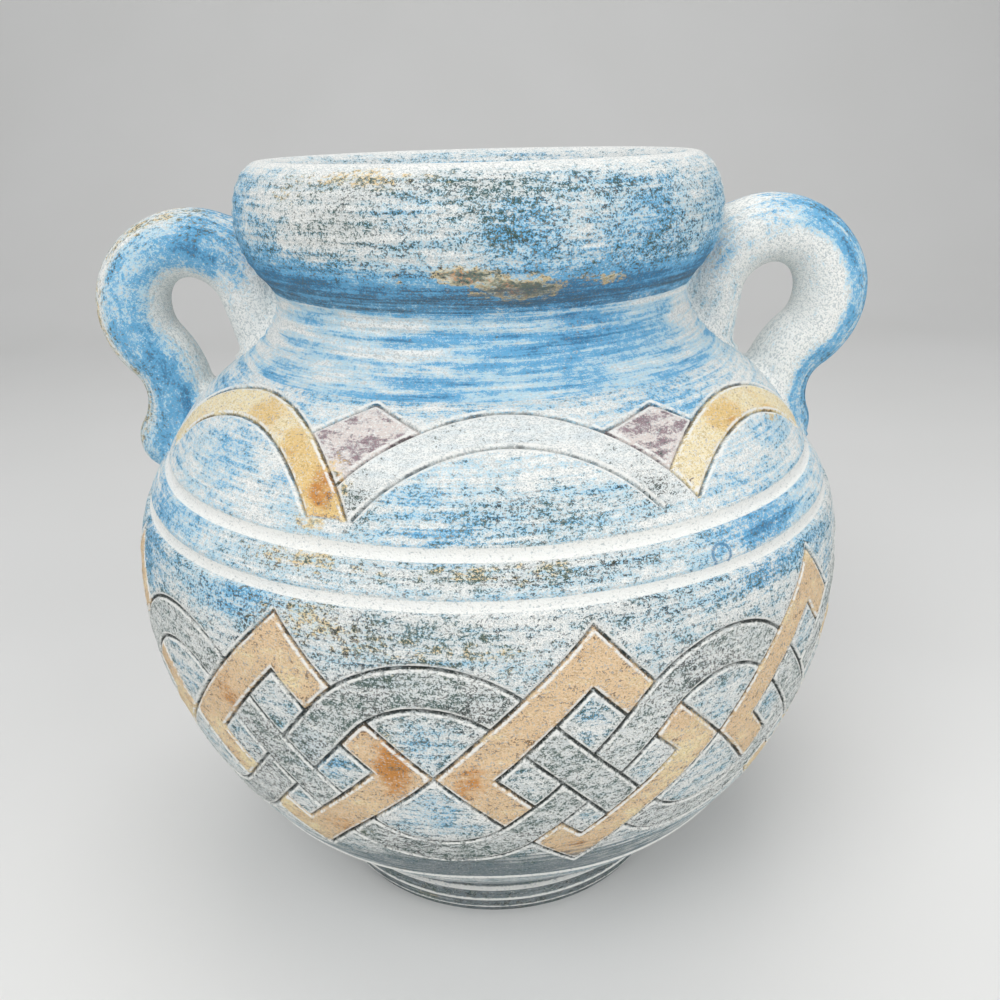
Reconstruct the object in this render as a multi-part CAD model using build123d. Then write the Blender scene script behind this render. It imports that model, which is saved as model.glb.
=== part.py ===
"""A two-handled terracotta jar, built as a potter builds it: thrown sections luted together.

Millimetres. Z is up, the jar stands on Z = 0 and its turning axis is the Z axis.
The handles stand in the X-Z plane, and the front of the jar faces -Y.
"""
import os
from math import cos, pi, radians, sin, sqrt

from build123d import *

# Heights, each measured from the one below it
foot_height = 18.2
belly_rise = 102.0         # from the foot's crease to the widest ring
groove_rise = 29.4         # from the widest ring to the lower belt groove
groove_spacing = 11.1      # from the lower to the upper belt groove
shoulder_rise = 17.1       # from the upper groove to the top of the dome
flare_rise = 14.4          # from the top of the dome to the foot of the neck
neck_rise = 18.5           # from the foot of the neck to its waist
neck_length = 3.0          # from the waist to the seat of the rim
bulge_rise = 20.5          # from the seat of the rim to its widest ring
crown_rise = 18.0          # from there to its top

# Radii and walls
foot_radius = 62.5
foot_bulge = 1.6           # how far the foot's side swells past a straight line
foot_top_radius = 66.4
belly_radius = 121.1
lower_groove_step = 5.1    # how far the lower groove lies inside the widest ring
upper_groove_step = 6.8    # how far the upper groove lies inside the lower one
shoulder_step = 12.1       # how far the dome's top lies inside the upper groove
neck_radius = 67.8
neck_flare = 12.4          # how far the foot of the neck stands outside its waist
neck_wall = 9.3
rim_overhang = 10.7        # how far the rim's roll stands outside the neck
wall = 10.0
groove_radius = 1.9        # round-nosed tool that cuts the belt grooves

# Handles: one round coil each, pressed onto the neck and onto the shoulder
handle_radius = 11.5
handle_bite = 3.1          # how deep the loop of the coil is pressed into the neck
loop_rise = 13.25          # from the rim's seat up to the centre line at the top of the loop
finger_gap = 18.5          # clear width inside the loop
left_leg_lean = 16.0       # lean of the inner leg away from the jar, degrees
right_leg_lean = 9.0
left_lean = 42.0           # lean of the outer leg towards the jar, degrees
right_lean = 52.0
left_root_draw = 6.5       # how far the coil's end is drawn in from the loop's widest line
right_root_draw = 14.5
lute_thickness = 2.5       # luting clay between the coil and the wall
lute_margin = 3.0          # how far the luting clay is smeared out past the coil

# Carved outlines: a ring of lozenges round the belly and arches on the shoulder, front and back
cut_width = 1.4
cut_depth = 0.85
lozenge_count = 9
lozenge_drop = 49.7        # from the lower groove down to the lozenges' middles
lozenge_tall = 43.6        # from the middle to the upper and lower corners
lozenge_gap = 1.6          # clay left between the corners of neighbours
lozenge_band = 11.5        # width of the band that a lozenge is drawn with
lozenge_turn = 12.7        # from the front to the nearest lozenge's middle, degrees
arch_radius = 60.0
arch_band = 10.6
arch_clearance = 5.0       # from the upper groove up to the arches' feet
middle_arch_drop = 41.8    # from the dome's top down its slope to the arch's centre
left_arch_drop = 40.8
right_arch_drop = 47.5
middle_arch_turn = 3.2     # from the front to the arch's middle, degrees
left_arch_turn = -50.0
right_arch_turn = 53.0

# Heights above the table
belly_height = foot_height + belly_rise
lower_groove_height = belly_height + groove_rise
upper_groove_height = lower_groove_height + groove_spacing
shoulder_height = upper_groove_height + shoulder_rise
flare_height = shoulder_height + flare_rise
waist_height = flare_height + neck_rise
seat_height = waist_height + neck_length
bulge_height = seat_height + bulge_rise

# Radii that follow from the steps
lower_groove_radius = belly_radius - lower_groove_step
upper_groove_radius = lower_groove_radius - upper_groove_step
shoulder_radius = upper_groove_radius - shoulder_step
flare_radius = neck_radius + neck_flare
mouth_radius = neck_radius - neck_wall
leg_reach = neck_radius + handle_radius - handle_bite
loop_radius = handle_radius + finger_gap / 2
belly_step = belly_radius - foot_top_radius
belly_arc = (belly_rise**2 + belly_step**2) / (2 * belly_step)
arc_centre = belly_radius - belly_arc

# The outer line of the dome, from the widest ring up to the neck's waist
dome_points = [
    (belly_radius, belly_height),
    (lower_groove_radius, lower_groove_height),
    (upper_groove_radius, upper_groove_height),
    (shoulder_radius, shoulder_height),
    (flare_radius, flare_height),
    (neck_radius, waist_height),
]
UPRIGHT = (0, 1)
turn_start = 127.0         # where a turned surface closes on itself, clear of the handles, degrees


def turned(outline):
    """Turn a closed outline, drawn as radius and height, about the jar's axis."""
    return Rot(0, 0, turn_start) * revolve(Plane.XZ * make_face(outline), Axis.Z)


def closed(lines, corners):
    """Join an open run of lines with straight edges through the given corners."""
    return lines + [Line(a, b) for a, b in zip(corners, corners[1:])]


def outer_line(grow):
    """The wall's outer line from the foot's crease to the rim's seat, moved out and up by grow."""
    dome = [(radius + grow, height) for radius, height in dome_points]
    crease = (foot_top_radius + grow, foot_height)
    return [
        TangentArc(dome[0], crease, tangent=(0, -1)),
        Spline(dome, tangents=[UPRIGHT, UPRIGHT]),
        Line(dome[-1], (neck_radius + grow, seat_height + grow)),
    ]


def full_jar(grow):
    """The jar without its rim as a full solid, moved out and up by grow."""
    crease = (foot_top_radius + grow, foot_height)
    top_height = seat_height + grow
    corners = [(neck_radius + grow, top_height), (0, top_height), (0, foot_height), crease]
    return turned(closed(outer_line(grow), corners))


def cut_at(solid, height):
    """Part a solid at one height and return the lower and the upper piece."""
    lower, upper = split(solid, Plane.XY.offset(height), keep=Keep.BOTH).solids().sort_by(Axis.Z)
    return lower, upper


def luting_pads():
    """The clay under one handle, at +X: a strip up the jar's side, parted between its two ends."""
    skin = outer_line(0)[1:] + outer_line(lute_thickness)[1:]
    foot_edge = Line((belly_radius, belly_height), (belly_radius + lute_thickness, belly_height))
    top_height = seat_height + lute_thickness
    top_edge = Line((neck_radius, seat_height), (neck_radius + lute_thickness, top_height))
    width = 2 * (handle_radius + lute_margin)
    reach = belly_radius + lute_thickness
    height = seat_height - lower_groove_height
    upright = (Align.MIN, Align.CENTER, Align.MIN)
    block = Pos(0, 0, lower_groove_height) * Box(reach, width, height, align=upright)
    strip = turned(skin + [foot_edge, top_edge]) & block
    return cut_at(strip, (shoulder_height + flare_height) / 2)


def inset(before, point, after):
    """Move a point of the dome square to its line, into the clay, by the wall's thickness."""
    along = (Vector(after) - Vector(before)).normalized()
    return (point[0] - wall * along.Y, point[1] + wall * along.X)


def belt_groove(radius, height):
    """The ring of clay that a round-nosed tool takes out at one height."""
    section = Pos(radius, height) * Circle(groove_radius)
    return Rot(0, 0, turn_start) * revolve(Plane.XZ * section, Axis.Z)


def facing(turn, radius, height, lean):
    """A plane that touches the wall: turned from the front and leaned by the wall's own slope."""
    out = Vector(sin(turn), -cos(turn), 0)
    normal = out * lean[0] + Vector(0, 0, lean[1])
    return Plane(origin=out * radius + Vector(0, 0, height), x_dir=(cos(turn), sin(turn), 0), z_dir=normal)


def cut_outline(plane, grown, shrunk):
    """The clay that an outline takes out: a frame through the wall, kept to the depth of a cut."""
    return extrude(plane * (grown - shrunk), wall, both=True) - core


def rhombus(wide, tall):
    """A flat lozenge with the given half width and half height."""
    return make_face(Polyline((wide, 0), (0, tall), (-wide, 0), (0, -tall), close=True))


def lozenge_cuts():
    """Both outlines of every lozenge round the belly."""
    height = lower_groove_height - lozenge_drop
    lean = Vector(sqrt(belly_arc**2 - (belly_height - height) ** 2), height - belly_height).normalized()
    radius = arc_centre + belly_arc * lean.X
    wide = radius * sin(pi / lozenge_count) - lozenge_gap / 2
    edge = wide * lozenge_tall / sqrt(wide**2 + lozenge_tall**2)
    cuts = []
    for number in range(lozenge_count):
        turn = radians(lozenge_turn) + 2 * pi * number / lozenge_count
        plane = facing(turn, radius, height, (lean.X, lean.Y))
        for inset_by in (0, lozenge_band):
            grown = (edge - inset_by + cut_width / 2) / edge
            shrunk = (edge - inset_by - cut_width / 2) / edge
            outlines = [rhombus(wide * share, lozenge_tall * share) for share in (grown, shrunk)]
            cuts.append(cut_outline(plane, *outlines))
    return cuts


def arch_cuts():
    """Both outlines of every arch on the shoulder, front and back, from their feet up."""
    below, above = Vector(*dome_points[2]), Vector(*dome_points[4])
    slope = (above - below).normalized()
    feet = Plane.XY.offset(upper_groove_height + arch_clearance)
    front = [
        (middle_arch_turn, middle_arch_drop),
        (left_arch_turn, left_arch_drop),
        (right_arch_turn, right_arch_drop),
    ]
    back = [(turn + 180, drop) for turn, drop in front]
    cuts = []
    for turn, drop in front + back:
        plane = facing(radians(turn), shoulder_radius, shoulder_height, (slope.Y, -slope.X))
        for radius in (arch_radius, arch_radius - arch_band):
            rings = [Pos(0, -drop) * Circle(radius + side * cut_width / 2) for side in (1, -1)]
            cuts.append(split(cut_outline(plane, *rings), feet, keep=Keep.TOP))
    return cuts


def body_wall():
    """The hollow wall from the foot's crease to the rim's seat, with its grooves and carving."""
    floor_radius = arc_centre + sqrt((belly_arc - wall) ** 2 - belly_rise**2)
    inner_dome = [(belly_radius - wall, belly_height)]
    inner_dome += [inset(*trio) for trio in zip(dome_points, dome_points[1:], dome_points[2:])]
    inner_dome += [(mouth_radius, waist_height)]
    inner_line = [
        TangentArc(inner_dome[0], (floor_radius, foot_height), tangent=(0, -1)),
        Spline(inner_dome, tangents=[UPRIGHT, UPRIGHT]),
        Line(inner_dome[-1], (mouth_radius, seat_height)),
    ]
    seat = Line((neck_radius, seat_height), (mouth_radius, seat_height))
    base = Line((foot_top_radius, foot_height), (floor_radius, foot_height))
    hollow = turned(outer_line(0) + inner_line + [seat, base])
    hollow -= belt_groove(lower_groove_radius, lower_groove_height)
    hollow -= belt_groove(upper_groove_radius, upper_groove_height)
    return hollow - lozenge_cuts() - arch_cuts()


def foot_disc():
    """The turned foot: a thick disc with a swelling side, which is also the jar's floor."""
    middle = ((foot_radius + foot_top_radius) / 2 + foot_bulge, foot_height / 2)
    side = ThreePointArc((foot_radius, 0), middle, (foot_top_radius, foot_height))
    corners = [(foot_top_radius, foot_height), (0, foot_height), (0, 0), (foot_radius, 0)]
    return turned(closed([side], corners))


def rim_roll():
    """The heavy rolled rim: round on top, bulging outside, upright inside the mouth."""
    crown_width = (neck_wall + rim_overhang) / 2
    crown_centre = (mouth_radius + crown_width, bulge_height)
    crown = EllipticalCenterArc(crown_centre, crown_width, crown_rise, 0, arc_size=180)
    widest = (neck_radius + rim_overhang, bulge_height)
    bulge = TangentArc(widest, (neck_radius, seat_height), tangent=(0, -1))
    lower_corners = [(mouth_radius, bulge_height), (mouth_radius, seat_height), (neck_radius, seat_height)]
    return turned(closed([crown, bulge], lower_corners))


def handle_lines(leg_lean, lean, root_draw):
    """The coil's centre line as three runs: up the neck, over in a loop, down to the shoulder."""
    loop_centre = (leg_reach + loop_radius, seat_height + loop_rise - loop_radius)
    root = (leg_reach + 2 * loop_radius - root_draw, upper_groove_height)
    loop = CenterArc(loop_centre, loop_radius, 180 - leg_lean, leg_lean - 180 - lean)
    leg_top = loop @ 0
    leg_run = (leg_top.Y - shoulder_height) / cos(radians(leg_lean))
    inner_leg = Line(leg_top - (loop % 0) * leg_run, leg_top)
    outer_leg = TangentArc(loop @ 1, root, tangent=loop % 1)
    return [inner_leg, loop, outer_leg]


def round_coil(lines, radius):
    """A round coil along the lines, flat at its start and rounded at its end."""
    path = Plane.XZ * Wire(lines)
    section = Plane(origin=path @ 0, z_dir=path % 0) * Circle(radius)
    dome = Sphere(radius, arc_size1=0, align=(Align.CENTER, Align.CENTER, Align.MIN))
    return sweep(section, path) + Plane(origin=path @ 1, z_dir=path % 1) * dome


def handle_pieces(leg_lean, lean, root_draw):
    """One handle on the +X side: its coil, its pad on the neck and its pad on the shoulder."""
    coil = round_coil(handle_lines(leg_lean, lean, root_draw), handle_radius) - luted_jar - rim
    root_pad, neck_pad = luting_pads()
    return coil, neck_pad, root_pad


luted_jar = full_jar(lute_thickness)
core = full_jar(-cut_depth)
rim = rim_roll()
lower_bowl, upper_wall = cut_at(body_wall(), lower_groove_height)
shoulder_dome, neck_collar = cut_at(upper_wall, flare_height)

nodes = {
    "foot_disc": foot_disc(),
    "lower_bowl": lower_bowl,
    "shoulder_dome": shoulder_dome,
    "neck_collar": neck_collar,
    "rim_roll": rim,
}
sides = [
    ("right", right_leg_lean, right_lean, right_root_draw),
    ("left", left_leg_lean, left_lean, left_root_draw),
]
for side, *bends in sides:
    pieces = handle_pieces(*bends)
    if side == "left":
        pieces = [mirror(piece, Plane.YZ) for piece in pieces]
    for name, piece in zip(("handle", "neck_pad", "root_pad"), pieces):
        nodes[f"{side}_{name}"] = piece

os.makedirs("parts", exist_ok=True)
for name, piece in nodes.items():
    export_step(piece, f"parts/{name}.step")
    print(name, round(piece.volume), "mm3")
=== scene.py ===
# %% [markdown]
# # A two-handled painted jar
# A thrown terracotta jar with a heavy rolled rim, two coil handles and a carved knot band.
# Its paint is rubbed back: lime white, sky blue and ochre over a sandy clay.
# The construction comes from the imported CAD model, which is loaded first and never moved.
# Every new piece is worked out in millimetres in the same frame and stands for its CAD nodes.

# %% Load the frame
import math

import bpy
import numpy as np
from mathutils import Matrix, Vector
from mathutils.geometry import delaunay_2d_cdt


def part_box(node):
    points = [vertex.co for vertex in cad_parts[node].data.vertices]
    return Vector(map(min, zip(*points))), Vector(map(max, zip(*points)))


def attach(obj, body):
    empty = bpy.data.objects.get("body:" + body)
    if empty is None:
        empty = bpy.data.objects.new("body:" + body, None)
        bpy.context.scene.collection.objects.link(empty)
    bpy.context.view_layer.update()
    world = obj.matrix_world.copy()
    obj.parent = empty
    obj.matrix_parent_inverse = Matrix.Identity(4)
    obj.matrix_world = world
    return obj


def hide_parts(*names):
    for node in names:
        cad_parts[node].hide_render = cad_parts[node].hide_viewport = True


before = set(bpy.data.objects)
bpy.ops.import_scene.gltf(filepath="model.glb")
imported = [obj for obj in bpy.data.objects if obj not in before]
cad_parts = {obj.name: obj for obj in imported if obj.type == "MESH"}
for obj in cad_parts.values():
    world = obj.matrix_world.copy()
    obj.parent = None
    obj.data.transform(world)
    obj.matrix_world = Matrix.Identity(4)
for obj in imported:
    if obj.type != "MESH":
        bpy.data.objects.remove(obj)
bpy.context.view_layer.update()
MM = 0.001
print("CAD nodes:", sorted(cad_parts))

# %% [markdown]
# ## The jar's outer line
# A potter's template gives the side of the jar as one line: foot, belly, shoulder, neck.
# The belly is one arc, and the dome above it a smooth curve through a few measured rings.
# A Bezier curve could do this, but a small cubic solved with numpy gives exact rings, and it
# also gives the length along the wall, which the carver measures the pattern with.

# %% Measured rings
FOOT_RADIUS, FOOT_SWELL = 62.5, 1.6
CREASE_RADIUS, FLOOR_RADIUS = 66.4, 46.0
BELLY_RADIUS, BELLY_HEIGHT = 121.1, 120.2
DOME_RADII = np.array([121.1, 116.0, 109.2, 97.1, 80.2, 67.8])
DOME_HEIGHTS = np.array([120.2, 149.6, 160.7, 177.8, 192.2, 210.7])
RIM_RADIUS, RIM_MIDDLE = 78.5, 234.2
NECK_FILLET = 12.0
MOUTH_RADIUS = 58.5
WALL = 10.0
# The carver's tape is hooked this far up the foot, so lengths below the hook are negative.
TAPE_LEAD = 15.74

crease_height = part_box("foot_disc")[1].z / MM
seam_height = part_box("lower_bowl")[1].z / MM
flare_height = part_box("shoulder_dome")[1].z / MM
seat_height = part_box("neck_collar")[1].z / MM
top_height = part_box("rim_roll")[1].z / MM
rim_step, rim_drop = RIM_RADIUS - DOME_RADII[-1], RIM_MIDDLE - seat_height
bulge_arc = (rim_step**2 + rim_drop**2) / (2 * rim_step)
fillet_side = DOME_RADII[-1] + NECK_FILLET - RIM_RADIUS + bulge_arc
fillet_height = RIM_MIDDLE - math.sqrt((bulge_arc + NECK_FILLET) ** 2 - fillet_side**2)
print("seams at", np.round([crease_height, seam_height, flare_height, seat_height], 1))


# %% The line and the length along it
def clamped_cubic(knots, values, start, end, at):
    """Smooth curve through the values: on each span a cubic whose slopes at the knots make
    the second derivative run through without a jump, with the two end slopes given."""
    gap = np.diff(knots)
    rise = np.diff(values) / gap
    system = np.eye(len(knots))
    right = np.r_[start, 3 * (gap[1:] * rise[:-1] + gap[:-1] * rise[1:]), end]
    inner = np.arange(1, len(knots) - 1)
    system[inner, inner - 1] = gap[1:]
    system[inner, inner] = 2 * (gap[:-1] + gap[1:])
    system[inner, inner + 1] = gap[:-1]
    slope = np.linalg.solve(system, right)
    span = np.clip(np.searchsorted(knots, at, "right") - 1, 0, len(gap) - 1)
    t = (at - knots[span]) / gap[span]
    lift = (1 - t) * (slope[span] - rise[span]) - t * (slope[span + 1] - rise[span])
    return values[span] + t * (values[span + 1] - values[span]) + gap[span] * t * (1 - t) * lift


def hollow(height):
    """How far the round hollow under the rim stands out of the upright neck: a quarter circle."""
    rise = np.clip(height - fillet_height, 0, NECK_FILLET)
    return NECK_FILLET - np.sqrt(NECK_FILLET**2 - rise**2)


def outer_line(samples=900):
    """Radius and height of the wall from the foot's lower edge to the rim's seat: a taper with a
    slight swell, one arc for the belly, the cubic for the dome and an upright neck."""
    t = np.linspace(0, 1, samples)
    foot = np.stack([FOOT_RADIUS + (CREASE_RADIUS - FOOT_RADIUS) * t + 4 * FOOT_SWELL * t * (1 - t),
                     crease_height * t], 1)
    drop, step = BELLY_HEIGHT - crease_height, BELLY_RADIUS - CREASE_RADIUS
    arc = (drop**2 + step**2) / (2 * step)
    turn = -math.asin(drop / arc) * (1 - t)
    belly = np.stack([BELLY_RADIUS - arc + arc * np.cos(turn), BELLY_HEIGHT + arc * np.sin(turn)], 1)
    chord = np.r_[0, np.cumsum(np.hypot(np.diff(DOME_RADII), np.diff(DOME_HEIGHTS)))]
    along = chord[-1] * t
    dome = np.stack([clamped_cubic(chord, DOME_RADII, 0, 0, along),
                     clamped_cubic(chord, DOME_HEIGHTS, 1, 1, along)], 1)
    upright = DOME_HEIGHTS[-1] + (seat_height - DOME_HEIGHTS[-1]) * t
    neck = np.stack([np.full(samples, DOME_RADII[-1]), upright], 1)
    wall = np.concatenate([foot, belly[1:], dome[1:], neck[1:]])
    wall[:, 0] += hollow(wall[:, 1])
    return wall


line = outer_line()
length = np.r_[0, np.cumsum(np.hypot(*np.diff(line, axis=0).T))] - TAPE_LEAD
line_normal = np.gradient(line, length, axis=0)[:, ::-1] * (1, -1)


def length_at(height):
    """Length along the wall where it passes a height."""
    return float(np.interp(height, line[:, 1], length))


def on_line(s, lift=0.0):
    """Radius and height of the wall at a length along it, moved by lift along the wall's normal."""
    radius = np.interp(s, length, line[:, 0]) + lift * np.interp(s, length, line_normal[:, 0])
    height = np.interp(s, length, line[:, 1]) + lift * np.interp(s, length, line_normal[:, 1])
    return radius, height


# The lower groove is turned on the seam, and the upper one on the dome's third ring.
CREASE, LOWER_GROOVE = length_at(crease_height), length_at(seam_height)
UPPER_GROOVE, FLARE = length_at(DOME_HEIGHTS[2]), length_at(flare_height)
SEAT = float(length[-1])
print("lengths along the wall:", np.round([CREASE, LOWER_GROOVE, UPPER_GROOVE, FLARE, SEAT], 1))

# %% [markdown]
# ## From a flat plan to the round wall
# Every point of the wall has two numbers: the turn round the jar and the length up the wall.
# Turn 0 faces the viewer, at -Y, and grows towards the right handle at +X.
# Lift moves a point square to the wall, so a carved line is a negative lift.

# %% Rolling the plan
COLUMNS = 360


def rolled(turn, s, lift=0.0):
    """Point at a turn and a length along the wall, moved by lift along the wall's normal."""
    radius, height = on_line(s, lift)
    return np.stack([radius * np.sin(turn), -radius * np.cos(turn), height], -1)


def spun(profile, turns):
    """Rings of points: each radius and height of the profile carried round the axis."""
    radius, height = profile[:, 0, None], profile[:, 1, None]
    return np.stack([radius * np.sin(turns), -radius * np.cos(turns), height + 0 * turns], -1)


def ring_faces(rows, columns, start=0, closed=False):
    """Four-cornered faces between neighbouring rings, which close round the axis."""
    i = np.arange(rows if closed else rows - 1)[:, None]
    j = np.arange(columns)
    k, up = (j + 1) % columns, (i + 1) % rows
    corners = [i * columns + j, i * columns + k, up * columns + k, up * columns + j]
    return start + np.stack(corners, -1).reshape(-1, 4)


# %% Putting a piece into Blender
SHARP_EDGE = math.radians(62)


def make_piece(name, points, faces, nodes, fields, plan):
    """Mesh from points in millimetres and faces, with one number per point for each field.
    The plan is where the brush went: across, across and along, in millimetres."""
    mesh = bpy.data.meshes.new(name)
    mesh.from_pydata(points * MM, [], faces)
    mesh.shade_smooth()
    mesh.set_sharp_from_angle(angle=SHARP_EDGE)
    for field, values in fields.items():
        layer = mesh.attributes.new(field, "FLOAT", "POINT")
        layer.data.foreach_set("value", np.ascontiguousarray(values, np.float32))
    layer = mesh.attributes.new("plan", "FLOAT_VECTOR", "POINT")
    layer.data.foreach_set("vector", np.ascontiguousarray(plan, np.float32).ravel())
    piece = bpy.data.objects.new(name, mesh)
    bpy.context.scene.collection.objects.link(piece)
    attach(piece, "root")
    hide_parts(*nodes)
    triangles = sum(len(face) - 2 for face in faces)
    print(name, len(points), "points", triangles, "triangles")
    return piece


# %% [markdown]
# ## The carved knot
# A band of nine lozenges runs round the belly, corner to corner, with two cords woven through.
# The carver outlines each band with a thin V cut, and leaves out the outline where another
# band passes over. So the cut is a formula: the distance to the nearest outline that shows.

# %% Lower band: lozenges and two cords
UNITS = 9
BAND_RADIUS = 118.0
PITCH = 2 * math.pi * BAND_RADIUS / UNITS
BAND_TURN = math.radians(12.7)
BAND_MIDDLE = LOWER_GROOVE - 50.3
# Half the lozenge's height, and its inner edge as a share of the outer one.
LOZENGE_TALL, LOZENGE_INNER = 44.6, 0.62
# The cords' loops, half their width, and how far they lie below the lozenges' middle.
LOOP_RADIUS, CORD_HALF, CORD_DROP = 31.0, 6.1, 2.8
# The carver's hand: how far the lines wander, and how much the units crowd together.
WANDER, CROWD = 0.5, 1.5
# Stands for "no outline here" in the distances.
FAR = 9.0
print("nine lozenges,", round(PITCH, 1), "mm wide")


def cord_distance(u, v):
    """Distance to the middle of a cord that falls from left to right through the lozenge:
    a straight run through its centre, then a circle about each point where lozenges touch."""
    slant = math.asin(LOOP_RADIUS / (PITCH / 2))
    along = u * math.cos(slant) - v * math.sin(slant)
    straight = np.abs(u * math.sin(slant) + v * math.cos(slant))
    reach = math.sqrt((PITCH / 2) ** 2 - LOOP_RADIUS**2)
    side = np.where(along < 0, -PITCH / 2, PITCH / 2)
    return np.where(np.abs(along) <= reach, straight, np.abs(np.hypot(u - side, v) - LOOP_RADIUS))


def lower_band(turn, s):
    """Distance to the nearest outline that shows, and whether a point is lozenge or cord. In a
    unit, w grows from 0 at the middle of the lozenge to 1 on its edge. The rising cord lies over
    the lozenge, the lozenge over the falling cord, and the falling cord over the rising one."""
    flat = (turn - BAND_TURN) * BAND_RADIUS + CROWD * (1 - np.cos(4 * (turn - BAND_TURN)))
    u = (flat + WANDER * np.sin(s / 9) + PITCH / 2) % PITCH - PITCH / 2
    v = s - BAND_MIDDLE + WANDER * np.sin(2 * turn + 1.0) + WANDER * np.sin(7 * turn)
    half = PITCH / 2
    edge_scale = half * LOZENGE_TALL / math.hypot(half, LOZENGE_TALL)
    w = np.abs(u) / half + np.abs(v) / LOZENGE_TALL
    falling, rising = cord_distance(u, v + CORD_DROP), cord_distance(u, -v - CORD_DROP)
    on_lozenge = (w > LOZENGE_INNER) & (w < 1)
    lozenge_edge = np.minimum(np.abs(w - 1), np.abs(w - LOZENGE_INNER)) * edge_scale
    lozenge_edge = np.where(rising < CORD_HALF, FAR, lozenge_edge)
    falling_edge = np.where(on_lozenge, FAR, np.abs(falling - CORD_HALF))
    rising_edge = np.where(falling < CORD_HALF, FAR, np.abs(rising - CORD_HALF))
    distance = np.minimum(np.minimum(lozenge_edge, falling_edge), rising_edge)
    ochre = on_lozenge & (rising >= CORD_HALF)
    cord = ~ochre & ((falling < CORD_HALF) | (rising < CORD_HALF))
    return np.minimum(distance, FAR), ochre, cord


# %% Upper band: arches and lozenge tips between them
ARCH_SCALE = 103.0
ARCH_OUTER, ARCH_INNER = 60.0, 49.4
ARCH_LOWEST = UPPER_GROOVE + 7.0
# An arch: the turn and the length of its centre.
WHITE_ARCH = (math.radians(3.2), UPPER_GROOVE - 20.8)
LEFT_ARCH = (math.radians(-50.0), UPPER_GROOVE - 19.8)
RIGHT_ARCH = (math.radians(53.0), UPPER_GROOVE - 26.5)
# A tip: its turn, its length, and how steeply its left and its right side fall.
LEFT_TIP = (math.radians(-21.0), UPPER_GROOVE + 41.5, 0.62, 0.48)
RIGHT_TIP = (math.radians(32.5), UPPER_GROOVE + 36.5, 0.30, 0.75)
TIP_ROUND = 1.5
print("arch bands are", round(ARCH_OUTER - ARCH_INNER, 1), "mm wide")


def half_turn(turn):
    """A turn brought into the front half, because the back repeats the front."""
    return (turn + math.pi / 2) % math.pi - math.pi / 2


def arch_ring(turn, s, centre):
    """Distance from the centre of an arch, which stands below the upper groove."""
    return np.hypot(half_turn(turn - centre[0]) * ARCH_SCALE, s - centre[1])


def arch_edges(ring):
    """Distance to the nearer outline of an arch."""
    return np.minimum(np.abs(ring - ARCH_OUTER), np.abs(ring - ARCH_INNER))


def below_tip(turn, s, tip):
    """How far a point lies below a tip whose two sides fall at their own slopes, rounded on top."""
    across = half_turn(turn - tip[0]) * ARCH_SCALE
    slope = np.where(across < 0, tip[2], tip[3])
    return (tip[1] - s - slope * (np.hypot(across, TIP_ROUND) - TIP_ROUND)) / np.hypot(1, slope)


def upper_band(turn, s):
    """Distance to the nearest outline that shows, and whether a point is ochre, white or mauve.
    The left arch lies over the white one, and the white one over the right one."""
    white, left, right = (arch_ring(turn, s, at) for at in (WHITE_ARCH, LEFT_ARCH, RIGHT_ARCH))
    on_left = (left > ARCH_INNER) & (left < ARCH_OUTER)
    on_white = (white > ARCH_INNER) & (white < ARCH_OUTER) & (left > ARCH_OUTER)
    on_right = (right > ARCH_INNER) & (right < ARCH_OUTER) & (white > ARCH_OUTER)
    distance = np.minimum(arch_edges(left), np.where(left < ARCH_OUTER, FAR, arch_edges(white)))
    distance = np.minimum(distance, np.where(white < ARCH_OUTER, FAR, arch_edges(right)))
    outside = np.minimum(np.minimum(white, left), right) > ARCH_OUTER
    depth = np.maximum(below_tip(turn, s, LEFT_TIP), below_tip(turn, s, RIGHT_TIP))
    distance = np.minimum(distance, np.where(outside, np.abs(depth), FAR))
    shown = s > ARCH_LOWEST
    distance = np.where(shown, np.minimum(distance, FAR), FAR)
    return distance, shown & (on_left | on_right), shown & on_white, shown & outside & (depth > 0)


# %% [markdown]
# ## Points where the carving needs them
# A grid fine enough for a V cut a millimetre wide would need millions of faces all round.
# Instead the flat plan is sown with points: close together along the cuts, wide apart on
# plain wall, and in rows along the turned grooves. Those next to a cut slide onto it, so
# that its floor is sharp, and a Delaunay triangulation joins them before the plan is rolled.

# %% Sowing and joining the points
FLAT = BAND_RADIUS
PLAIN_STEP, CUT_STEP, SIDE_STEP = 2.3, 0.5, 0.7
# Rows stand this share of a step apart, as in triangles with even sides.
ROW_SHARE = 0.87
# How far the close points reach from a cut, from how near they slide onto it, and the small
# step that measures the slope of the distance.
CUT_REACH, SNAP, NUDGE = 1.15, 0.26, 0.02
# No loose point comes nearer than this to a row of points, or to an end of the plan.
ROW_CLEAR, END_CLEAR = 0.35, 0.3
# Differences too small to count.
SAME_PLACE, TINY_AREA, ON_ROW, ON_END = 1e-6, 1e-7, 1e-4, 1e-3


def staggered(low, high, step):
    """Flat points in rows, every other row moved by half a step, clear of the plan's edges."""
    half = math.pi * FLAT
    rows = np.arange(low + 0.6 * step, high - 0.4 * step, step * ROW_SHARE)
    marks = np.arange(-half + 0.7 * step, half - 0.7 * step, step)
    x = marks + (np.arange(len(rows)) % 2)[:, None] * step / 2
    y = rows[:, None] + 0 * marks
    inside = np.abs(x) < half - 0.45 * step
    return np.stack([x[inside], y[inside]], -1)


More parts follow.
